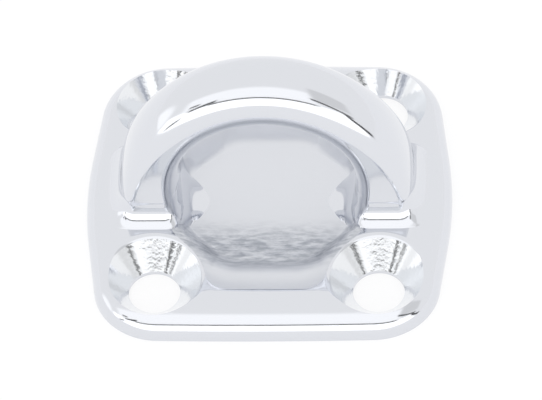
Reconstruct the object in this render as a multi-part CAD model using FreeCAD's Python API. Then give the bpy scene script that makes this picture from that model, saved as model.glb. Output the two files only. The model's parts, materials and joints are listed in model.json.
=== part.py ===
# Square pad eye: one investment casting in polished stainless steel.
#
# A round-barred eye stands across a square base plate with four countersunk
# screw holes. The bar is round at the crown and grows flat front and back faces
# down its legs. A shallow scoop in the plate, under the eye, gives a shackle
# pin or a hook room to swing.
#
# Millimetres. X runs along the plane of the eye, Y runs through the eye and
# Z is up. The origin is the middle of the flat underside.

import FreeCAD, Part
import math
import os

V = FreeCAD.Vector
UP = V(0, 0, 1)

# Base plate. Its size follows the screw pattern and the metal left around it.
# The two sides beside the legs bow out, a middle arc with straight flanks, and
# the front and back edges are almost straight. The top rolls over to the edge in
# a quarter of an ellipse, above a low upright wall.
hole_spacing = 30.0
side_margin = 9.65
end_margin = 7.85
plate_thickness = 4.4
side_bow_radius = 54.0
flank_angle = 7.5
front_bow_radius = 660.0
corner_radius = 9.0
edge_roll_width = 5.4
edge_wall_height = 0.4

# Screw holes: a straight land at the underside, a cone and a rounded mouth.
hole_diameter = 6.9
hole_land_height = 0.6
countersink_angle = 82.0
mouth_round_radius = 1.2

# Eye: the bar lies between an outer and an inner curve, each half an ellipse
# whose legs lean in or out a little as they rise. The bar is round at the crown
# and deeper at its legs.
leg_inset = 5.05
eye_opening = 23.6
leg_straight_height = 0.35
outer_rise = 21.4
inner_rise = 12.3
outer_lean = 1.4
inner_lean = -0.4
crown_depth = 9.0
leg_depth = 11.2
leg_flat_width = 3.8
crown_flat_width = 0.3
flat_fade_angle = 52.0
leg_fullness = 0.7

# Foot: the fillets that carry the leg into the plate, and the pointed nose that
# carries its inner side down into the scoop. Each meets its face at an angle,
# which gives it a crisp toe, and runs on a little under that face. The outer toe
# lies some way down the plate's rolled edge.
front_foot_radius = 3.9
outer_foot_radius = 5.6
inner_foot_radius = 5.1
plate_toe_angle = 33.0
nose_toe_angle = 15.0
toe_fullness = 0.85
nose_fullness = 0.3
nose_depth = 12.8
toe_depth = 0.4
outer_toe_drop = 0.7

# Scoop under the eye: the size of its mouth, and the run of its slopes. They start
# gently at the lip and are steepest low down, above a smooth turn into the floor.
scoop_depth = 3.4
scoop_end_margin = 5.4
scoop_under_leg = 1.5
scoop_end_width = 13.6
scoop_side_length = 13.0
scoop_corner_radius = 3.0
end_slope_run = 8.2
side_slope_run = 2.4
end_narrowing = 1.8
side_shortening = 2.0
scoop_lip_slope = 0.35
scoop_slope_lag = 1.5

# Share of a quarter that makes a cubic curve run as an ellipse.
ellipse_fullness = 0.5523

# Stations of the lofts: the angle between two on the arch, and the number of steps
# up the edge roll, each fillet and the scoop.
arch_step = 15
roll_steps = 6
fillet_steps = 4
nose_steps = 3
scoop_steps = 6

plate_width = hole_spacing + 2 * side_margin
plate_length = hole_spacing + 2 * end_margin
scoop_floor = plate_thickness - scoop_depth
outer_half = plate_width / 2 - leg_inset
inner_half = eye_opening / 2
leg_centre = (outer_half + inner_half) / 2
leg_half_width = (outer_half - inner_half) / 2
fillet_top = max(
    scoop_floor + inner_foot_radius * math.cos(math.radians(nose_toe_angle)),
    plate_thickness + front_foot_radius * math.cos(math.radians(plate_toe_angle)),
)
spring_level = fillet_top + leg_straight_height


def on_arc(centre, radius, degrees):
    """Point on a circle in the XY plane."""
    turn = math.radians(degrees)
    return V(centre.x + radius * math.cos(turn), centre.y + radius * math.sin(turn), 0)


def arc(centre, radius, start, end):
    """Arc edge in the XY plane, from one angle to another in degrees."""
    middle = on_arc(centre, radius, (start + end) / 2)
    return Part.Arc(on_arc(centre, radius, start), middle, on_arc(centre, radius, end)).toShape()


def closed_wire(edges):
    return Part.Wire(Part.__sortEdges__(edges))


def blend(start, end, share):
    share = min(max(share, 0.0), 1.0)
    return start + (end - start) * share


def plate_quarter(inset):
    """Outline edges from the middle of the right side to the middle of the back."""
    side_centre = V(plate_width / 2 - side_bow_radius, 0, 0)
    back_centre = V(0, plate_length / 2 - front_bow_radius, 0)
    flank_start = on_arc(side_centre, side_bow_radius, flank_angle)
    outward = on_arc(V(), 1, flank_angle)
    along = on_arc(V(), 1, flank_angle + 90)
    # The corner's centre lies one corner radius inside the flank, and the corner
    # touches the back bow from inside.
    inner_start = flank_start - outward * corner_radius - back_centre
    reach = front_bow_radius - corner_radius
    ahead = inner_start.dot(along)
    run = -ahead + math.sqrt(ahead ** 2 - inner_start.dot(inner_start) + reach ** 2)
    corner_centre = flank_start - outward * corner_radius + along * run
    to_corner = corner_centre - back_centre
    back_angle = math.degrees(math.atan2(to_corner.y, to_corner.x))
    flank_start -= outward * inset
    return [
        arc(side_centre, side_bow_radius - inset, 0, flank_angle),
        Part.makeLine(flank_start, flank_start + along * run),
        arc(corner_centre, corner_radius - inset, flank_angle, back_angle),
        arc(back_centre, front_bow_radius - inset, back_angle, 90),
    ]


def plate_outline(inset, level):
    """Closed outline of the plate, one quarter mirrored four ways, moved in by an inset."""
    quarter = plate_quarter(inset)
    half = quarter + [edge.mirror(V(), V(1, 0, 0)) for edge in quarter]
    outline = closed_wire(half + [edge.mirror(V(), V(0, 1, 0)) for edge in half])
    outline.translate(UP * level)
    return outline


def make_plate():
    """Plate whose top rolls over to its edge in a quarter of an ellipse."""
    wires = [plate_outline(0, 0)]
    for step in range(roll_steps + 1):
        turn = math.pi / 2 * step / roll_steps
        rise = (plate_thickness - edge_wall_height) * math.sin(turn)
        wires.append(plate_outline(edge_roll_width * (1 - math.cos(turn)), edge_wall_height + rise))
    return Part.makeLoft(wires, True)


def quarter_curve(flat_end, reach, half_depth, fullness):
    """Quarter of a bar section, from a flat's end on +Y to the bar's side on +X.

    A fullness of 0.55 gives a quarter of an ellipse, more gives a squarer
    corner and less gives a pointed nose.
    """
    curve = Part.BezierCurve()
    curve.setPoles([
        V(flat_end, half_depth, 0),
        V(flat_end + fullness * reach, half_depth, 0),
        V(flat_end + reach, fullness * half_depth, 0),
        V(flat_end + reach, 0, 0),
    ])
    return curve.toShape()


def bar_section(half_flat, outer, inner, half_depth, outer_fullness, inner_fullness):
    """Section of the bar: +X points away from the middle of the eye."""
    outer_quarter = quarter_curve(half_flat, outer - half_flat, half_depth, outer_fullness)
    inner_quarter = quarter_curve(half_flat, inner - half_flat, half_depth, inner_fullness)
    inner_quarter = inner_quarter.mirror(V(), V(1, 0, 0))
    flat = Part.makeLine(V(-half_flat, half_depth, 0), V(half_flat, half_depth, 0))
    back = [flat, outer_quarter, inner_quarter]
    return closed_wire(back + [edge.mirror(V(), V(0, 1, 0)) for edge in back])


def flare(height, radius, toe_angle):
    """How far a foot fillet stands out, at a height above the face it runs into."""
    toe = math.radians(90 - toe_angle)
    if height < 0:
        # Under the face it runs straight on, down to the depth of the toe.
        return radius * (1 - math.cos(toe)) + min(-height, toe_depth) * math.tan(toe)
    turn = math.asin(max(math.sin(toe) - height / radius, 0))
    return radius * (1 - math.cos(turn))


def foot_section(level):
    """Section of the right leg at a level above the underside, flared into its foot."""
    above_plate = level - plate_thickness
    lift = above_plate / (fillet_top - plate_thickness)
    sink = -above_plate / scoop_depth
    half_depth = leg_depth / 2 + flare(above_plate, front_foot_radius, plate_toe_angle)
    wire = bar_section(
        leg_flat_width / 2,
        leg_half_width + flare(above_plate + outer_toe_drop, outer_foot_radius, plate_toe_angle),
        leg_half_width + flare(level - scoop_floor, inner_foot_radius, nose_toe_angle),
        blend(half_depth, nose_depth / 2, sink),
        blend(toe_fullness, leg_fullness, lift),
        blend(blend(toe_fullness, nose_fullness, sink), ellipse_fullness, lift),
    )
    wire.translate(V(leg_centre, 0, level))
    return wire


def arch_section(degrees):
    """Section of the arch at an angle round from the right leg."""
    turn = math.radians(degrees)
    rise = math.sin(turn)
    outer = V(math.cos(turn) * (outer_half - outer_lean * rise), 0, outer_rise * rise)
    inner = V(math.cos(turn) * (inner_half - inner_lean * rise), 0, inner_rise * rise)
    half_width = (outer - inner).Length / 2
    from_leg = min(degrees, 180 - degrees)
    fade = math.sin(min(from_leg / flat_fade_angle, 1.0) * math.pi / 2)
    wire = bar_section(
        blend(leg_flat_width, crown_flat_width, fade) / 2,
        half_width,
        half_width,
        blend(leg_depth, crown_depth, rise) / 2,
        blend(leg_fullness, ellipse_fullness, fade),
        ellipse_fullness,
    )
    across = outer - inner
    wire.rotate(V(), V(0, 1, 0), -math.degrees(math.atan2(across.z, across.x)))
    wire.translate((outer + inner) / 2 + UP * spring_level)
    return wire


def fillet_levels(base, radius, toe_angle, rise, steps):
    """Levels up a foot fillet from its toe, evenly spaced round its arc, up to a rise."""
    toe = math.radians(90 - toe_angle)
    top = math.asin(max(math.sin(toe) - rise / radius, 0))
    turns = [blend(toe, top, step / steps) for step in range(steps + 1)]
    return [base + radius * (math.sin(toe) - math.sin(turn)) for turn in turns]


def make_eye():
    """The bar, from one foot in the plate over to the other, in one loft."""
    levels = [scoop_floor - toe_depth]
    levels += fillet_levels(
        scoop_floor, inner_foot_radius, nose_toe_angle, scoop_depth - toe_depth, nose_steps
    )
    levels += fillet_levels(
        plate_thickness, front_foot_radius, plate_toe_angle, fillet_top - plate_thickness, fillet_steps
    )
    right = [foot_section(level) for level in levels]
    arch = [arch_section(degrees) for degrees in range(0, 181, arch_step)]
    left = [wire.mirror(V(), V(1, 0, 0)) for wire in reversed(right)]
    return Part.makeLoft(right + arch + left, True)


def make_screw_hole():
    """Cutter for one hole, turned about its axis. It runs past both faces of the plate."""
    slope = math.radians(countersink_angle / 2)
    shank_radius = hole_diameter / 2
    rim_radius = shank_radius + (plate_thickness - hole_land_height) * math.tan(slope)
    # The rounded mouth touches the cone and the plate's top.
    tangent = mouth_round_radius * math.tan((math.pi / 2 - slope) / 2)
    cone_end = V(
        rim_radius - tangent * math.sin(slope), 0, plate_thickness - tangent * math.cos(slope)
    )
    mouth_end = V(rim_radius + tangent, 0, plate_thickness)
    bisector = math.pi / 4 + slope / 2
    crest = mouth_end + V(-math.cos(bisector), 0, math.sin(bisector) - 1) * mouth_round_radius
    bottom = V(0, 0, -mouth_round_radius)
    top = V(0, 0, plate_thickness + mouth_round_radius)
    shank_start = bottom + V(shank_radius, 0, 0)
    shank_end = V(shank_radius, 0, hole_land_height)
    mouth_top = V(mouth_end.x, 0, top.z)
    outline = Part.Wire([
        Part.makeLine(bottom, shank_start),
        Part.makeLine(shank_start, shank_end),
        Part.makeLine(shank_end, cone_end),
        Part.Arc(cone_end, crest, mouth_end).toShape(),
        Part.makeLine(mouth_end, mouth_top),
        Part.makeLine(mouth_top, top),
        Part.makeLine(top, bottom),
    ])
    return Part.Face(outline).revolve(V(), UP, 360)


def screw_holes():
    hole = make_screw_hole()
    half = hole_spacing / 2
    return [hole.translated(V(x, y, 0)) for x in (-half, half) for y in (-half, half)]


def rounded_polygon(corners, radius):
    """Closed wire through the corners, with an arc of the radius at each."""
    starts = []
    ends = []
    middles = []
    for before, corner, after in zip(corners[-1:] + corners, corners, corners[1:] + corners[:1]):
        back = (before - corner).normalize()
        ahead = (after - corner).normalize()
        half = back.getAngle(ahead) / 2
        starts.append(corner + back * radius / math.tan(half))
        ends.append(corner + ahead * radius / math.tan(half))
        middles.append(corner + (back + ahead).normalize() * radius * (1 / math.sin(half) - 1))
    edges = []
    for index, start in enumerate(starts):
        edges.append(Part.Arc(start, middles[index], ends[index]).toShape())
        edges.append(Part.makeLine(ends[index], starts[(index + 1) % len(starts)]))
    return Part.Wire(edges)


def scoop_outline(share, level):
    """Outline of the scoop, from its mouth at a share of 0 to its floor at 1."""
    half_length = plate_length / 2 - scoop_end_margin - end_slope_run * share
    half_width = inner_half + scoop_under_leg - side_slope_run * share
    half_end = scoop_end_width / 2 - end_narrowing * share
    half_side = scoop_side_length / 2 - side_shortening * share
    corners = [
        V(half_width, half_side, level),
        V(half_end, half_length, level),
        V(-half_end, half_length, level),
        V(-half_width, half_side, level),
    ]
    return rounded_polygon(corners + [V(-p.x, -p.y, p.z) for p in corners], scoop_corner_radius)


def make_scoop():
    """Cutter for the scoop: an S-shaped slope all round, down to a flat floor."""
    wires = []
    for step in range(-1, scoop_steps + 1):
        share = step / scoop_steps
        late = max(share, 0.0) ** scoop_slope_lag
        fall = late ** 2 * (3 - 2 * late) + scoop_lip_slope * share * (1 - share) ** 2
        wires.append(scoop_outline(share, plate_thickness - scoop_depth * fall))
    return Part.makeLoft(wires, True)


pad_eye = make_plate().cut(make_scoop()).fuse(make_eye()).cut(screw_holes())
pad_eye = pad_eye.removeSplitter().Solids[0]
box = pad_eye.BoundBox
print("pad_eye is one valid solid:", pad_eye.isValid(), "volume", round(pad_eye.Volume, 1))
print("width, length, height:", round(box.XLength, 2), round(box.YLength, 2), round(box.ZLength, 2))
os.makedirs("parts", exist_ok=True)
pad_eye.exportStep("parts/pad_eye.step")
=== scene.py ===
# %% [markdown]
# # A square pad eye in polished stainless steel
#
# A pad eye is a piece of deck hardware: a round-barred eye on a square base plate
# that four countersunk screws hold to a boat's deck. The real one is a single
# investment casting, ground and polished all over, apart from the scoop under the
# eye and the countersinks, which keep some of the texture of the casting.
#
# This lesson loads the measured model as a frame, builds the casting again as a
# clean mesh that a mirror finish can be read on, gives it three finishes, and
# lights it in a white tent as a small parts photographer would.

# %% Load the measured frame
import json
import math

import bmesh
import bpy
from mathutils import Matrix, Vector
from mathutils.geometry import interpolate_bezier


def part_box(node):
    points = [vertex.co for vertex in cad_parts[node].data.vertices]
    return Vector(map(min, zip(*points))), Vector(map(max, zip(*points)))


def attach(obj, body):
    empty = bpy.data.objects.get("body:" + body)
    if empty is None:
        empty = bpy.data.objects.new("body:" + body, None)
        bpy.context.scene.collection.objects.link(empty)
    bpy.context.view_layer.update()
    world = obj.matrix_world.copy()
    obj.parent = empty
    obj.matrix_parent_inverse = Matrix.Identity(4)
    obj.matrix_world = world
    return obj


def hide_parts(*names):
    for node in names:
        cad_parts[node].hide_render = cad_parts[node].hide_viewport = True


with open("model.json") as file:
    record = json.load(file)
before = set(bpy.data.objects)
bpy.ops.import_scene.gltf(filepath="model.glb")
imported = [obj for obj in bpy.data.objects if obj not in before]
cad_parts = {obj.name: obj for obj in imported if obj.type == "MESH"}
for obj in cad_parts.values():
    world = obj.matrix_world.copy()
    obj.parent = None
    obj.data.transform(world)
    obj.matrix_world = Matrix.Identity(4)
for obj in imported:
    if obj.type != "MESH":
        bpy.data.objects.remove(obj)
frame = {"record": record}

scene = bpy.context.scene
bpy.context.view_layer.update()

# %% [markdown]
# ## Sizes
#
# The plate's width and length, the height of the crown and the screw pattern come
# from the frame. Everything else is a size in millimetres, worked in the same way
# as on the measured model: X lies in the plane of the eye, Y runs through it and
# the origin is the middle of the flat underside. Meshes are shaped in millimetres
# and brought to metres once, when each is finished.

# %% Sizes that the frame gives
MM = 0.001
low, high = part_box("pad_eye")
plate_width = (high[0] - low[0]) / MM
plate_length = (high[1] - low[1]) / MM
total_height = (high[2] - low[2]) / MM
mounts = {mount["name"]: mount for mount in frame["record"]["mounts"]}
screws = mounts["screw_holes"]["dims"]
hole_radius = screws["hole_r_mm"]
hole_x = screws["spacing_x_mm"] / 2
hole_y = screws["spacing_y_mm"] / 2
print("plate", round(plate_width, 2), "x", round(plate_length, 2), "mm, height", round(total_height, 2))

# %% Sizes of the base plate, its countersinks and its scoop
# The plate's outline, and the roll of its top rim above a low wall.
plate_thickness = 4.4
side_bow_radius = 54.0
flank_angle = 7.5
front_bow_radius = 660.0
corner_radius = 9.0
edge_roll_width = 5.4
edge_wall_height = 0.4

# The countersinks, from the underside up.
land_height = 0.6
countersink_angle = 82.0
mouth_round_radius = 1.2

# The scoop: its outline at the lip, how its slopes run, and its floor.
scoop_depth = 3.4
scoop_end_margin = 5.4
scoop_under_leg = 1.5
scoop_end_width = 13.6
scoop_side_length = 13.0
scoop_corner_radius = 3.0
floor_corner_radius = 5.0
end_slope_run = 8.2
side_slope_run = 2.4
end_narrowing = 1.8
side_shortening = 2.0
scoop_lip_slope = 0.35
scoop_slope_lag = 1.5
scoop_floor = plate_thickness - scoop_depth
print("under the scoop the plate is", round(scoop_floor, 2), "mm thick")

# %% Sizes of the eye and its feet
# The arch and the section of its bar. A fullness is how far a curve's handles
# reach toward its corner, and 0.5523 makes a quarter of an ellipse.
leg_inset = 5.05
eye_opening = 23.6
leg_straight_height = 0.35
inner_rise = 12.3
outer_lean = 1.4
inner_lean = -0.4
crown_depth = 9.0
leg_depth = 11.2
leg_flat_width = 3.8
crown_flat_width = 0.3
flat_fade_angle = 52.0
leg_fullness = 0.7
ellipse_fullness = 0.5523

# The feet, where the bar's sides flare out onto the plate and into the scoop.
front_foot_radius = 3.9
outer_foot_radius = 5.6
inner_foot_radius = 5.1
plate_toe_angle = 33.0
nose_toe_angle = 15.0
toe_fullness = 0.85
nose_fullness = 0.3
nose_depth = 12.8
toe_depth = 0.4
outer_toe_drop = 0.7

outer_half = plate_width / 2 - leg_inset
inner_half = eye_opening / 2
leg_centre = (outer_half + inner_half) / 2
leg_half_width = (outer_half - inner_half) / 2
fillet_top = max(
    scoop_floor + inner_foot_radius * math.cos(math.radians(nose_toe_angle)),
    plate_thickness + front_foot_radius * math.cos(math.radians(plate_toe_angle)),
)
spring_level = fillet_top + leg_straight_height
outer_rise = total_height - spring_level
print("eye springs at", round(spring_level, 2), "mm and rises", round(outer_rise, 2), "mm")

# %% [markdown]
# ## Helpers
#
# Every shape here starts as a bmesh, Blender's own mesh in memory, and is shaped by
# its operators. Four helpers are needed again and again: a blend between two values,
# a mirror that also closes the seam it makes, one that points all faces outward, and
# one that turns a finished bmesh into an object. The object stays at the origin,
# unturned and unscaled, with its place in its mesh, so that a pattern on it can't
# slide.

# %% Helpers for meshes
def blend(start, end, share):
    share = min(max(share, 0.0), 1.0)
    return start + (end - start) * share


def mirror_all(bm, axis):
    seam_mm = 0.01
    everything = bm.verts[:] + bm.edges[:] + bm.faces[:]
    bmesh.ops.mirror(bm, geom=everything, axis=axis, merge_dist=seam_mm)
    bmesh.ops.remove_doubles(bm, verts=bm.verts, dist=seam_mm)


def turn_outward(bm):
    bmesh.ops.recalc_face_normals(bm, faces=bm.faces)


def make_object(bm, name):
    mesh = bpy.data.meshes.new(name)
    bm.to_mesh(mesh)
    bm.free()
    obj = bpy.data.objects.new(name, mesh)
    scene.collection.objects.link(obj)
    print(name, "has", len(mesh.polygons), "faces")
    return obj


# %% [markdown]
# ## The base plate
#
# The two sides beside the legs bow out, the front and back edges are almost
# straight and the corners are round. A rounded box would be quicker, but its edges
# would be straight, and a mirror finish shows that at once. So one quarter of the
# outline is drawn by spinning a single vertex round each arc's centre in turn. Two
# mirrors close the outline, a face fills it, an extrusion gives the thickness and a
# bevel rolls the top rim over, so the plate has true arcs and no odd points.

# %% Helpers that draw from a vertex
def spin_vertex(bm, vertex, centre, axis, degrees, steps):
    """Draw an arc from a vertex and return the vertex at its far end."""
    made = bmesh.ops.spin(
        bm, geom=[vertex], cent=centre, axis=axis, angle=math.radians(degrees), steps=steps
    )
    return next(item for item in made["geom_last"] if isinstance(item, bmesh.types.BMVert))


def extrude_vertex(bm, vertex, target):
    """Draw a straight edge from a vertex and return the new vertex at its end."""
    end = bmesh.ops.extrude_vert_indiv(bm, verts=[vertex])["verts"][0]
    end.co = target
    return end


def direction(degrees):
    """Unit vector in the plane of the plate, at an angle round from +X."""
    return Vector((math.cos(math.radians(degrees)), math.sin(math.radians(degrees)), 0))


# %% Outline of a quarter of the plate
def draw_plate_quarter(bm):
    side_centre = Vector((plate_width / 2 - side_bow_radius, 0, 0))
    back_centre = Vector((0, plate_length / 2 - front_bow_radius, 0))
    up = Vector((0, 0, 1))
    side = bm.verts.new(side_centre + direction(0) * side_bow_radius)
    flank = spin_vertex(bm, side, side_centre, up, flank_angle, steps=8)
    # The corner's circle touches the flank line and the back bow from inside.
    along = direction(flank_angle + 90)
    inner = flank.co - direction(flank_angle) * corner_radius - back_centre
    reach = front_bow_radius - corner_radius
    ahead = inner.dot(along)
    run = -ahead + math.sqrt(ahead ** 2 - inner.dot(inner) + reach ** 2)
    corner_centre = inner + back_centre + along * run
    to_corner = corner_centre - back_centre
    back_angle = math.degrees(math.atan2(to_corner.y, to_corner.x))
    corner = extrude_vertex(bm, flank, flank.co + along * run)
    bend = spin_vertex(bm, corner, corner_centre, up, back_angle - flank_angle, steps=32)
    spin_vertex(bm, bend, back_centre, up, 90 - back_angle, steps=6)


# %% The plate blank
def make_plate():
    bm = bmesh.new()
    draw_plate_quarter(bm)
    mirror_all(bm, "X")
    mirror_all(bm, "Y")
    base = bmesh.ops.contextual_create(bm, geom=bm.edges[:])["faces"]
    top = bmesh.ops.extrude_face_region(bm, geom=base)["geom"]
    top_verts = [item for item in top if isinstance(item, bmesh.types.BMVert)]
    # A blank as high as the roll is wide, so that the bevel is round, is then
    # pressed down to the plate's thickness above the wall.
    bmesh.ops.translate(bm, vec=(0, 0, edge_wall_height + edge_roll_width), verts=top_verts)
    turn_outward(bm)
    rim = [edge for edge in bm.edges if all(v.co.z > edge_roll_width for v in edge.verts)]
    bmesh.ops.bevel(
        bm, geom=rim, offset=edge_roll_width, affect="EDGES", segments=24, profile=0.5, material=-1
    )
    press = (plate_thickness - edge_wall_height) / edge_roll_width
    for vert in bm.verts:
        vert.co.z = min(vert.co.z, edge_wall_height + (vert.co.z - edge_wall_height) * press)
    return make_object(bm, "plate_blank")


plate = make_plate()

# %% [markdown]
# ## The scoop
#
# Under the eye the plate is dished, so that a shackle pin can swing. Pressing the
# plate's own mesh down would need a grid all over it, and the grid would show in
# the polish, so the scoop is a cutter that is taken out of the plate later. It is
# bridged through eight-sided rings with rounded corners, each a share of the way
# down the slope. They drop along an S curve that starts gently at the lip and is
# steepest low down, which is how the slope runs on the casting.

# %% The scoop's outline and slope
def scoop_corners(share):
    """Eight corners of the scoop's outline, at a share of the way down its slope."""
    half_length = plate_length / 2 - scoop_end_margin - end_slope_run * share
    half_width = inner_half + scoop_under_leg - side_slope_run * share
    half_end = scoop_end_width / 2 - end_narrowing * share
    half_side = scoop_side_length / 2 - side_shortening * share
    quarter = [(half_width, half_side), (half_end, half_length)]
    half = quarter + [(-x, y) for x, y in reversed(quarter)]
    return half + [(-x, -y) for x, y in half]


def scoop_height(share):
    """Height at a share of the way down. Shares below 0 are above the plate's top."""
    late = max(share, 0.0) ** scoop_slope_lag
    fall = late ** 2 * (3 - 2 * late) + scoop_lip_slope * share * (1 - share) ** 2
    return plate_thickness - scoop_depth * fall


# %% Cutter for the scoop
def draw_scoop_ring(bm, share):
    """Outline of the scoop at a share of the way down its slope, its corners rounded."""
    height = scoop_height(share)
    corners = [bm.verts.new((x, y, height)) for x, y in scoop_corners(share)]
    bm.faces.new(corners)
    radius = blend(scoop_corner_radius, floor_corner_radius, share)
    # The outline turns this far at the corners beside the legs, and the rest of a
    # quarter turn at the front and back corners.
    side_turn = (corners[1].co - corners[0].co).angle(Vector((0, 1, 0)))
    side_corners = [corners[place] for place in (0, 3, 4, 7)]
    end_corners = [corners[place] for place in (1, 2, 5, 6)]
    for turn, group in ((side_turn, side_corners), (math.pi / 2 - side_turn, end_corners)):
        bmesh.ops.bevel(
            bm, geom=group, offset=radius * math.tan(turn / 2), affect="VERTICES",
            segments=8, profile=0.5, material=-1,
        )


def make_scoop_cutter():
    steps_down = 24
    steps_above = 4
    bm = bmesh.new()
    for step in range(-steps_above, steps_down + 1):
        draw_scoop_ring(bm, step / steps_down)
    by_height = sorted(bm.faces, key=lambda face: face.verts[0].co.z)
    rings = [list(face.edges) for face in by_height]
    bmesh.ops.delete(bm, geom=bm.faces[:], context="FACES_ONLY")
    for lower, upper in zip(rings, rings[1:]):
        bmesh.ops.bridge_loops(bm, edges=lower + upper)
    bmesh.ops.holes_fill(bm, edges=[edge for edge in bm.edges if edge.is_boundary])
    turn_outward(bm)
    return make_object(bm, "scoop_cutter")


scoop_cutter = make_scoop_cutter()

# %% [markdown]
# ## The eye
#
# The bar is round at the crown and grows flat front and back faces down its legs,
# and each leg runs out into the plate through a flared foot. A curve with a round
# bevel would give a plain hoop, with no flats and no feet. So a grid is rolled up
# into the bar: one direction of the grid goes along the bar and the other round
# it, and each vertex moves to its place on the section of its own station. Only
# the right half is made so, and a mirror makes the left.

# %% Sections of the bar
QUARTER_STEPS = 22


def quarter_curve(flat_end, reach, half_depth, fullness):
    """Quarter of a section, from a flat's end on +Y to the bar's side on +X."""
    return interpolate_bezier(
        Vector((flat_end, half_depth)),
        Vector((flat_end + fullness * reach, half_depth)),
        Vector((flat_end + reach, fullness * half_depth)),
        Vector((flat_end + reach, 0)),
        QUARTER_STEPS + 1,
    )


def bar_section(half_flat, outer, inner, half_depth, outer_fullness, inner_fullness):
    """Closed section of the bar: +X points away from the middle of the eye."""
    outer_quarter = quarter_curve(half_flat, outer - half_flat, half_depth, outer_fullness)
    inner_quarter = quarter_curve(half_flat, inner - half_flat, half_depth, inner_fullness)
    back = [Vector((-p.x, p.y)) for p in reversed(inner_quarter)] + outer_quarter
    return back + [Vector((p.x, -p.y)) for p in reversed(back[1:-1])]


# %% Stations on the leg and on the arch
def flare(height, radius, toe_angle):
    """How far a foot fillet stands out, at a height above the face it runs into."""
    toe = math.radians(90 - toe_angle)
    if height < 0:
        return radius * (1 - math.cos(toe)) + min(-height, toe_depth) * math.tan(toe)
    turn = math.asin(max(math.sin(toe) - height / radius, 0))
    return radius * (1 - math.cos(turn))


def foot_station(level):
    """Section of the right leg at a level above the underside, flared into its foot."""
    above_plate = level - plate_thickness
    lift = above_plate / (fillet_top - plate_thickness)
    sink = -above_plate / scoop_depth
    half_depth = leg_depth / 2 + flare(above_plate, front_foot_radius, plate_toe_angle)
    section = bar_section(
        leg_flat_width / 2,
        leg_half_width + flare(above_plate + outer_toe_drop, outer_foot_radius, plate_toe_angle),
        leg_half_width + flare(level - scoop_floor, inner_foot_radius, nose_toe_angle),
        blend(half_depth, nose_depth / 2, sink),
        blend(toe_fullness, leg_fullness, lift),
        blend(blend(toe_fullness, nose_fullness, sink), ellipse_fullness, lift),
    )
    return [Vector((leg_centre + p.x, p.y, level)) for p in section]


def arch_station(degrees):
    """Section of the arch at an angle round from the right leg."""
    turn = math.radians(degrees)
    rise = math.sin(turn)
    outer = Vector((math.cos(turn) * (outer_half - outer_lean * rise), 0, outer_rise * rise))
    inner = Vector((math.cos(turn) * (inner_half - inner_lean * rise), 0, inner_rise * rise))
    across = outer - inner
    half_width = across.length / 2
    fade = math.sin(min(degrees / flat_fade_angle, 1.0) * math.pi / 2)
    section = bar_section(
        blend(leg_flat_width, crown_flat_width, fade) / 2,
        half_width,
        half_width,
        blend(leg_depth, crown_depth, rise) / 2,
        blend(leg_fullness, ellipse_fullness, fade),
        ellipse_fullness,
    )
    centre = (outer + inner) / 2 + Vector((0, 0, spring_level))
    outward = across.normalized()
    return [centre + outward * p.x + Vector((0, p.y, 0)) for p in section]


# %% All stations along the right half of the bar
def fillet_levels(base, radius, toe_angle, rise, steps):
    """Levels up a foot fillet from its toe, evenly spaced round its arc, up to a rise."""
    toe = math.radians(90 - toe_angle)
    top = math.asin(max(math.sin(toe) - rise / radius, 0))
    turns = [blend(toe, top, step / steps) for step in range(steps + 1)]
    return [base + radius * (math.sin(toe) - math.sin(turn)) for turn in turns]


def bar_stations():
    nose_rise = scoop_depth - toe_depth
    foot_rise = fillet_top - plate_thickness
    arch_step_degrees = 2
    levels = [scoop_floor - toe_depth]
    levels += fillet_levels(scoop_floor, inner_foot_radius, nose_toe_angle, nose_rise, steps=16)
    levels += [plate_thickness - toe_depth * share for share in (0.75, 0.5, 0.25)]
    levels += fillet_levels(plate_thickness, front_foot_radius, plate_toe_angle, foot_rise, steps=24)
    levels.append(blend(fillet_top, spring_level, 0.5))
    arch = [arch_station(degrees) for degrees in range(0, 91, arch_step_degrees)]
    return [foot_station(level) for level in levels] + arch


# %% Roll a grid up into the bar
def make_eye():
    stations = bar_stations()
    along = len(stations) - 1
    around = len(stations[0])
    half_grid = 0.5
    seam_mm = 0.0001
    bm = bmesh.new()
    bmesh.ops.create_grid(bm, x_segments=along, y_segments=around, size=half_grid)
    for vert in bm.verts:
        station = round((vert.co.x + half_grid) * along)
        place = round((vert.co.y + half_grid) * around) % around
        vert.co = stations[station][place]
    # The grid's last row lands on its first, which closes the bar into a tube.
    bmesh.ops.remove_doubles(bm, verts=bm.verts, dist=seam_mm)
    mirror_all(bm, "X")
    bmesh.ops.holes_fill(bm, edges=[edge for edge in bm.edges if edge.is_boundary])
    turn_outward(bm)
    return make_object(bm, "eye_blank")


eye = make_eye()

# %% [markdown]
# ## The screw holes
#
# Each hole is a straight land at the underside, an 82 degree cone for the screw's
# head and a mouth rounded by the polishing mop. A cylinder and a cone would leave
# the mouth sharp. A lathe does this best: the half profile is drawn once, spun a
# full turn and mirrored to the four places. The cutter runs past both faces of the
# plate, because a boolean with two faces in one plane can go wrong.

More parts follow.
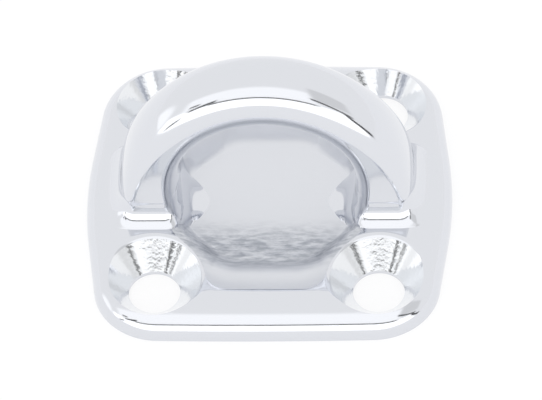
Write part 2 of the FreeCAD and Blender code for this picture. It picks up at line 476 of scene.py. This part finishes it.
# %% Cutter for the four screw holes
def make_hole_cutter():
    overrun = 1.2
    axis_merge_mm = 0.001
    slope = math.radians(countersink_angle / 2)
    rim_radius = hole_radius + (plate_thickness - land_height) * math.tan(slope)
    tangent = mouth_round_radius * math.tan((math.pi / 2 - slope) / 2)
    mouth_centre = Vector((rim_radius + tangent, 0, plate_thickness - mouth_round_radius))
    axis_x = Vector((1, 0, 0))
    up = Vector((0, 0, 1))
    bm = bmesh.new()
    start = bm.verts.new((0, 0, -overrun))
    shank = extrude_vertex(bm, start, start.co + axis_x * hole_radius)
    land = extrude_vertex(bm, shank, axis_x * hole_radius + up * land_height)
    cone_end = axis_x * (rim_radius - tangent * math.sin(slope))
    cone_end += up * (plate_thickness - tangent * math.cos(slope))
    cone = extrude_vertex(bm, land, cone_end)
    mouth = spin_vertex(bm, cone, mouth_centre, (0, 1, 0), 90 - countersink_angle / 2, steps=10)
    lid = extrude_vertex(bm, mouth, mouth.co + up * overrun)
    extrude_vertex(bm, lid, up * lid.co.z)
    bmesh.ops.spin(
        bm, geom=bm.verts[:] + bm.edges[:], cent=(0, 0, 0), axis=up,
        angle=math.tau, steps=128, use_merge=True,
    )
    bmesh.ops.remove_doubles(bm, verts=bm.verts, dist=axis_merge_mm)
    bmesh.ops.translate(bm, vec=(hole_x, hole_y, 0), verts=bm.verts)
    mirror_all(bm, "X")
    mirror_all(bm, "Y")
    turn_outward(bm)
    return make_object(bm, "hole_cutter")


hole_cutter = make_hole_cutter()

# %% [markdown]
# ## Finishes
#
# The whole casting is one stainless steel, a metal that shows its surroundings, in
# three finishes. Colours are written as sRGB hex values and turned to linear by one
# function. One small function adds a node with its settings and links.

# %% Helpers for materials
def colour(hex_value):
    """Linear colour from an sRGB hex value."""
    channels = [int(hex_value[i:i + 2], 16) / 255 for i in (0, 2, 4)]
    linear = [c / 12.92 if c <= 0.04045 else ((c + 0.055) / 1.055) ** 2.4 for c in channels]
    return (*linear, 1.0)


def add_node(tree, kind, inputs=None, **settings):
    """Add a node. Each input is a value, or the output socket that it is linked to."""
    node = tree.nodes.new(kind)
    for name, value in settings.items():
        setattr(node, name, value)
    for key, value in (inputs or {}).items():
        if isinstance(value, bpy.types.NodeSocket):
            tree.links.new(value, node.inputs[key])
        else:
            node.inputs[key].default_value = value
    return node


def new_material(name):
    material = bpy.data.materials.new(name)
    material.use_nodes = True
    material.node_tree.nodes.clear()
    return material, material.node_tree


# %% [markdown]
# ## The polished steel
#
# The plate and the eye are mopped to a mirror, so nearly all that is seen on them is
# the tent around them. Bright and dark bands could be painted on the steel, but they
# would stand still while the view moves, so the metal is left to mirror the world. A
# mop leaves a casting slightly wavy. A broad, shallow noise in the bump bends the
# reflections a little, which tells the eye that the part was cast and not turned.

# %% Polished stainless steel
STEEL = "DFE1E6"


def polished_steel():
    """Cast stainless steel, mopped to a mirror: it keeps a faint waviness."""
    wave_mm = 5.0
    wave_height_mm = 0.05
    material, tree = new_material("polished_stainless_steel")
    place = add_node(tree, "ShaderNodeTexCoord").outputs["Object"]
    waves = add_node(tree, "ShaderNodeTexNoise", {
        "Vector": place, "Scale": 1 / (wave_mm * MM), "Detail": 1.0, "Roughness": 0.4,
    })
    bump = add_node(tree, "ShaderNodeBump", {
        "Height": waves.outputs["Fac"], "Strength": 0.12, "Distance": wave_height_mm * MM,
    })
    shader = add_node(tree, "ShaderNodeBsdfPrincipled", {
        "Base Color": colour(STEEL), "Metallic": 1.0, "Roughness": 0.09,
        "Normal": bump.outputs["Normal"],
    })
    add_node(tree, "ShaderNodeOutputMaterial", {"Surface": shader.outputs["BSDF"]})
    return material


polished = polished_steel()
print("finish:", polished.name)

# %% [markdown]
# ## The steel in the scoop
#
# A mop hardly reaches into the scoop, so the skin of the casting stays there, only
# lightly polished: it is dull, and fine ripples lie across it. Ripples in the mesh
# would take very many faces, so they are a bump, and a Mapping node draws the noise
# out along X. Their size was matched to the photograph.
#
# Toward the front the photograph shows a darker band, rougher than the rest. The
# tent's reflections alone don't make it, so it is painted shade: a window along Y,
# with soft edges, strengthens the bump there and darkens the steel's colour, most
# in the hollows of the ripples. The painted shade stands for the crown's dark
# underside mirrored in the scoop and the shade in the recess, and it lies on the
# front slope alone.

# %% A window with soft edges
def window(tree, value, low_edge, high_edge, soft):
    """1 between two edges and 0 outside them, with a soft step at each edge."""
    rise = add_node(tree, "ShaderNodeMapRange", {
        "Value": value, "From Min": low_edge - soft, "From Max": low_edge + soft,
    }, interpolation_type="SMOOTHSTEP")
    fall = add_node(tree, "ShaderNodeMapRange", {
        "Value": value, "From Min": high_edge - soft, "From Max": high_edge + soft,
        "To Min": 1.0, "To Max": 0.0,
    }, interpolation_type="SMOOTHSTEP")
    return add_node(
        tree, "ShaderNodeMath", {0: rise.outputs[0], 1: fall.outputs[0]}, operation="MULTIPLY"
    ).outputs[0]


# %% As-cast steel in the scoop, with a band of painted shade
# Colour of the painted shade in the band toward the scoop's front.
PAINTED_SHADE_STEEL = "ADB1B9"


def cast_steel():
    """Lightly polished skin of the casting: dull, with ripples, and painted shade in a band toward the
    front.
    """
    ripple_mm = 0.65
    ripple_height_mm = 0.12
    across_scoop = (0.3, 1.0, 0.6)
    band_front_mm = -12.0
    band_back_mm = -5.0
    band_soft_mm = 2.5
    material, tree = new_material("as_cast_steel_with_painted_shade")
    place = add_node(tree, "ShaderNodeTexCoord").outputs["Object"]
    stretched = add_node(tree, "ShaderNodeMapping", {"Vector": place, "Scale": across_scoop})
    ripples = add_node(tree, "ShaderNodeTexNoise", {
        "Vector": stretched.outputs["Vector"], "Scale": 1 / (ripple_mm * MM), "Detail": 4.0,
        "Roughness": 0.6,
    })
    axes = add_node(tree, "ShaderNodeSeparateXYZ", {"Vector": place})
    band = window(tree, axes.outputs["Y"], band_front_mm * MM, band_back_mm * MM, band_soft_mm * MM)
    strength = add_node(tree, "ShaderNodeMapRange", {"Value": band, "To Min": 0.15, "To Max": 0.9})
    bump = add_node(tree, "ShaderNodeBump", {
        "Height": ripples.outputs["Fac"], "Strength": strength.outputs[0],
        "Distance": ripple_height_mm * MM,
    })
    # Painted shade: in the front band the colour darkens, most in the hollows of the ripples.
    hollows = add_node(tree, "ShaderNodeMapRange", {
        "Value": ripples.outputs["Fac"], "From Min": 0.62, "From Max": 0.38,
        "To Min": 0.15, "To Max": 1.0,
    })
    painted_shade = add_node(
        tree, "ShaderNodeMath", {0: band, 1: hollows.outputs[0]}, operation="MULTIPLY"
    )
    # A Mix node that blends colours takes them in its inputs 6 and 7 and gives output 2.
    base = add_node(tree, "ShaderNodeMix", {
        0: painted_shade.outputs[0], 6: colour(STEEL), 7: colour(PAINTED_SHADE_STEEL),
    }, data_type="RGBA")
    shader = add_node(tree, "ShaderNodeBsdfPrincipled", {
        "Base Color": base.outputs[2], "Metallic": 1.0, "Roughness": 0.32,
        "Normal": bump.outputs["Normal"],
    })
    add_node(tree, "ShaderNodeOutputMaterial", {"Surface": shader.outputs["BSDF"]})
    return material


cast = cast_steel()
print("finish:", cast.name)

# %% [markdown]
# ## The steel in the countersinks
#
# The cones have the skin of the casting too, with soft dimples about half a
# millimetre across. They break each reflection into small facets, which the eye
# reads as hammered metal. A bump is enough, since the dimples are never seen on
# edge. Their colour is a little brighter than the rest, and that is painted light:
# the cones are brighter in the photograph than the tent alone makes them.

# %% Hammered steel in the countersinks
# Painted light: the cones' steel is given a lighter colour than the rest.
PAINTED_LIGHT_STEEL = "EEF0F3"


def hammered_steel():
    """Skin of the casting in the cones: shiny, with soft dimples, its colour painted lighter as painted
    light.
    """
    dimple_mm = 0.5
    dimple_depth_mm = 0.045
    material, tree = new_material("hammered_stainless_steel")
    place = add_node(tree, "ShaderNodeTexCoord").outputs["Object"]
    dimples = add_node(tree, "ShaderNodeTexNoise", {
        "Vector": place, "Scale": 1 / (dimple_mm * MM), "Detail": 1.0, "Roughness": 0.5,
    })
    bump = add_node(tree, "ShaderNodeBump", {
        "Height": dimples.outputs["Fac"], "Strength": 0.3, "Distance": dimple_depth_mm * MM,
    })
    shader = add_node(tree, "ShaderNodeBsdfPrincipled", {
        "Base Color": colour(PAINTED_LIGHT_STEEL), "Metallic": 1.0, "Roughness": 0.12,
        "Normal": bump.outputs["Normal"],
    })
    add_node(tree, "ShaderNodeOutputMaterial", {"Surface": shader.outputs["BSDF"]})
    return material


hammered = hammered_steel()
print("finish:", hammered.name)

# %% [markdown]
# ## Joining the casting
#
# One mesh could be modelled face by face, but its curved faces would have to meet
# along lines that nobody can guess. Booleans find those lines, so the blanks are
# joined as a pattern maker would: the scoop is cut from the plate, the eye is added
# and the holes are drilled last, so they also trim the feet. Each cutter hands its
# own finish to the faces that it leaves behind. A boolean that fails can empty the
# mesh without a word, so the number of faces is printed. After that, edges that turn
# sharply are marked, and the rest shades smoothly.

# %% Hand each blank its finish
def give_finishes(obj, materials, pick):
    for material in materials:
        obj.data.materials.append(material)
    for face in obj.data.polygons:
        face.material_index = pick(face)


give_finishes(plate, [polished], lambda face: 0)
give_finishes(eye, [polished], lambda face: 0)
give_finishes(scoop_cutter, [cast], lambda face: 0)
# The cone's faces are the leaning ones between the land and the mouth.
cone_top = plate_thickness - mouth_round_radius
least_tilt = 0.1
give_finishes(
    hole_cutter, [polished, hammered],
    lambda face: int(land_height < face.center.z < cone_top and abs(face.normal.z) > least_tilt),
)
print("cone faces:", sum(face.material_index for face in hole_cutter.data.polygons))


# %% Cut, join and drill
def combine(obj, other, operation):
    """Join another object to this one, or cut it out, and remove the other object."""
    modifier = obj.modifiers.new(operation.lower(), "BOOLEAN")
    modifier.operation = operation
    modifier.object = other
    modifier.solver = "EXACT"
    modifier.material_mode = "TRANSFER"
    depsgraph = bpy.context.evaluated_depsgraph_get()
    mesh = bpy.data.meshes.new_from_object(obj.evaluated_get(depsgraph), depsgraph=depsgraph)
    obj.modifiers.clear()
    obj.data = mesh
    bpy.data.objects.remove(other)
    print("after the", operation.lower(), "there are", len(mesh.polygons), "faces")


combine(plate, scoop_cutter, "DIFFERENCE")
combine(plate, eye, "UNION")
combine(plate, hole_cutter, "DIFFERENCE")


# %% Clean the joined mesh and bring it to metres
def finish_casting(obj, name):
    """Weld the joined mesh, mark its sharp edges and bring it to metres."""
    weld_mm = 0.004
    sliver_mm = 0.002
    sharp_angle = math.radians(12)
    bm = bmesh.new()
    bm.from_mesh(obj.data)
    bmesh.ops.remove_doubles(bm, verts=bm.verts, dist=weld_mm)
    bmesh.ops.dissolve_degenerate(bm, edges=bm.edges, dist=sliver_mm)
    for face in bm.faces:
        face.smooth = True
    for edge in bm.edges:
        edge.smooth = edge.calc_face_angle(0.0) < sharp_angle
    open_edges = sum(not edge.is_manifold for edge in bm.edges)
    bmesh.ops.scale(bm, vec=(MM, MM, MM), verts=bm.verts)
    bm.to_mesh(obj.data)
    bm.free()
    obj.name = name
    obj.data.name = name
    weighted = obj.modifiers.new("even_normals", "WEIGHTED_NORMAL")
    weighted.keep_sharp = True
    print(name, "has", len(obj.data.polygons), "faces and", open_edges, "open edges")


casting = plate
finish_casting(casting, "pad_eye_casting")
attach(casting, "root")
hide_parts("pad_eye")

# %% [markdown]
# ## The light tent
#
# Polished steel has no look of its own: it shows what stands around it. Small parts
# are photographed in a tent of white cloth, and the bright bands on the bar and the
# plate's rim fit two lamps behind its front wall, with a dark gap between them. Cloth
# and lamps could be built as objects, but each band would then take many moves to
# place. Here the tent is painted on the world in patches instead.
#
# A patch has a place by two angles: over, from the front horizon over the top to the
# back, and side, from the middle plane toward the right. Patches were first placed
# where the bands in the photograph point to, by way of the casting's own surfaces,
# and then moved one by one. The cloth's own level is 1, so a colour renders about as it
# is written. The camera itself sees plain white, like the paper behind the part.

# %% Paint one patch
def paint_patch(tree, under, over, side, patch):
    """Paint one patch of light or dark over what is under it."""
    # The place of a patch that rises is measured along a slope: for each degree to
    # the side it lies that much higher.
    level_over = add_node(tree, "ShaderNodeMath", {
        0: side, 1: -patch.get("rise", 0.0), 2: over,
    }, operation="MULTIPLY_ADD")
    tall = window(tree, level_over.outputs[0], *patch["over"], patch["soft"])
    wide = window(tree, side, *patch["side"], patch["soft"])
    mask = add_node(tree, "ShaderNodeMath", {0: tall, 1: wide}, operation="MULTIPLY")
    mix = add_node(tree, "ShaderNodeMix", {0: mask.outputs[0], 2: under, 3: patch["level"]})
    return mix.outputs[0]


# %% The patches, in degrees
TENT_PATCHES = [
    # The lamp low behind the front wall, its light on the left wall, and the one above.
    {"over": (-10, 28), "side": (-74, 64), "level": 1.6, "soft": 4.0},
    {"over": (-5, 185), "side": (-95, -77), "level": 1.3, "soft": 4.0},
    {"over": (28, 63), "side": (-62, 37), "level": 1.25, "soft": 5.0},
    # The wall right of the upper lamp.
    {"over": (42, 80), "side": (37, 68), "level": 0.80, "soft": 3.0},
    # The gap between the lamps, which widens and drops toward both sides.
    {"over": (25.5, 28.0), "side": (-56, 36), "level": 0.5, "soft": 0.6},
    {"over": (24.6, 28.4), "side": (-36, 33), "level": 0.02, "soft": 0.5},
    {"over": (44.5, 50.5), "side": (-52, -33), "rise": 0.435, "level": 0.03, "soft": 1.0},
    {"over": (56.5, 62), "side": (34, 65), "rise": -0.464, "level": 0.03, "soft": 1.0},
    # The frame of the tent at both ends of the gap.
    {"over": (77.5, 84.5), "side": (-62, -54), "rise": 1.28, "level": 0.05, "soft": 1.2},
    {"over": (138, 153), "side": (57, 73), "rise": -2.06, "level": 0.03, "soft": 1.5},
    # A small dark patch, there only for the streak that it makes in the countersinks.
    {"over": (34.5, 39), "side": (-56, -47), "level": 0.03, "soft": 1.0},
]
print("the tent has", len(TENT_PATCHES), "patches")


# %% The tent
WHITE = "FFFFFF"


def paint_tent():
    cloth_level = 1.0
    world = bpy.data.worlds.new("light_tent")
    world.use_nodes = True
    scene.world = world
    tree = world.node_tree
    tree.nodes.clear()
    toward = add_node(tree, "ShaderNodeTexCoord").outputs["Generated"]
    axes = add_node(tree, "ShaderNodeSeparateXYZ", {"Vector": toward})
    front = add_node(tree, "ShaderNodeMath", {0: axes.outputs["Y"], 1: -1.0}, operation="MULTIPLY")
    turn_over = add_node(
        tree, "ShaderNodeMath", {0: axes.outputs["Z"], 1: front.outputs[0]}, operation="ARCTAN2"
    )
    turn_side = add_node(tree, "ShaderNodeMath", {0: axes.outputs["X"]}, operation="ARCSINE")
    over = add_node(tree, "ShaderNodeMath", {0: turn_over.outputs[0]}, operation="DEGREES").outputs[0]
    side = add_node(tree, "ShaderNodeMath", {0: turn_side.outputs[0]}, operation="DEGREES").outputs[0]
    level = cloth_level
    for patch in TENT_PATCHES:
        level = paint_patch(tree, level, over, side, patch)
    tent = add_node(tree, "ShaderNodeBackground", {"Color": colour(WHITE), "Strength": level})
    paper = add_node(tree, "ShaderNodeBackground", {"Color": colour(WHITE), "Strength": 1.0})
    rays = add_node(tree, "ShaderNodeLightPath")
    seen = add_node(tree, "ShaderNodeMixShader", {
        0: rays.outputs["Is Camera Ray"], 1: tent.outputs[0], 2: paper.outputs[0],
    })
    add_node(tree, "ShaderNodeOutputWorld", {"Surface": seen.outputs[0]})
    print("world:", world.name, "with", len(tree.nodes), "nodes")


paint_tent()

# %% [markdown]
# ## The floor
#
# A sheet of white card. Lit by the tent alone it would come out grey near the part,
# and a plain glow would lose the soft shadow that says the part stands on it. So the
# card is a mixture: most of its light is its own, as if it were lit from below, and
# the rest comes from the tent and keeps the shadow.

# %% The floor
CARD = "F4F4F6"


def make_floor():
    half_size_mm = 600.0
    glow_share = 0.72
    glow_level = 1.06
    bm = bmesh.new()
    bmesh.ops.create_grid(bm, x_segments=1, y_segments=1, size=half_size_mm * MM)
    obj = make_object(bm, "white_card")
    material, tree = new_material("white_card")
    lit = add_node(tree, "ShaderNodeBsdfDiffuse", {"Color": colour(CARD)})
    glow = add_node(tree, "ShaderNodeEmission", {"Color": colour(WHITE), "Strength": glow_level})
    mixed = add_node(tree, "ShaderNodeMixShader", {
        0: glow_share, 1: lit.outputs[0], 2: glow.outputs[0],
    })
    add_node(tree, "ShaderNodeOutputMaterial", {"Surface": mixed.outputs[0]})
    obj.data.materials.append(material)


make_floor()

# %% [markdown]
# ## The camera
#
# The photograph looks down on the front edge with a long lens, a little from the
# right and slightly rolled. A camera can be placed by hand until the picture
# looks right, but a mirror finish forgives little, so this one was fitted: its
# angles, distance and lens are those that lay the plate's outline and the rims of
# its holes on those in the photograph. The aim says how far the middle of the
# picture is from the origin.

# %% The camera
# In degrees: round from the front toward the right, up from the floor, and rolled.
CAMERA_AZIMUTH = 4.545
CAMERA_ELEVATION = 52.081
CAMERA_ROLL = -3.876
CAMERA_DISTANCE_MM = 940.6
CAMERA_LENS_MM = 463.0
AIM_RIGHT_MM = 0.219
AIM_UP_MM = 0.745


def place_camera():
    azimuth, elevation = math.radians(CAMERA_AZIMUTH), math.radians(CAMERA_ELEVATION)
    back = Vector((
        math.sin(azimuth) * math.cos(elevation), -math.cos(azimuth) * math.cos(elevation),
        math.sin(elevation),
    ))
    right = Vector((math.cos(azimuth), math.sin(azimuth), 0))
    up = back.cross(right)
    data = bpy.data.cameras.new("camera")
    data.lens = CAMERA_LENS_MM
    data.sensor_width = 36.0
    data.clip_start = 0.01
    camera = bpy.data.objects.new("camera", data)
    scene.collection.objects.link(camera)
    spot = (back * CAMERA_DISTANCE_MM + right * AIM_RIGHT_MM + up * AIM_UP_MM) * MM
    turn = Matrix((right, up, back)).transposed() @ Matrix.Rotation(math.radians(CAMERA_ROLL), 3, "Z")
    camera.matrix_world = Matrix.Translation(spot) @ turn.to_4x4()
    scene.camera = camera
    print("camera at", [round(value, 3) for value in spot])


place_camera()
scene.view_settings.view_transform = "Standard"
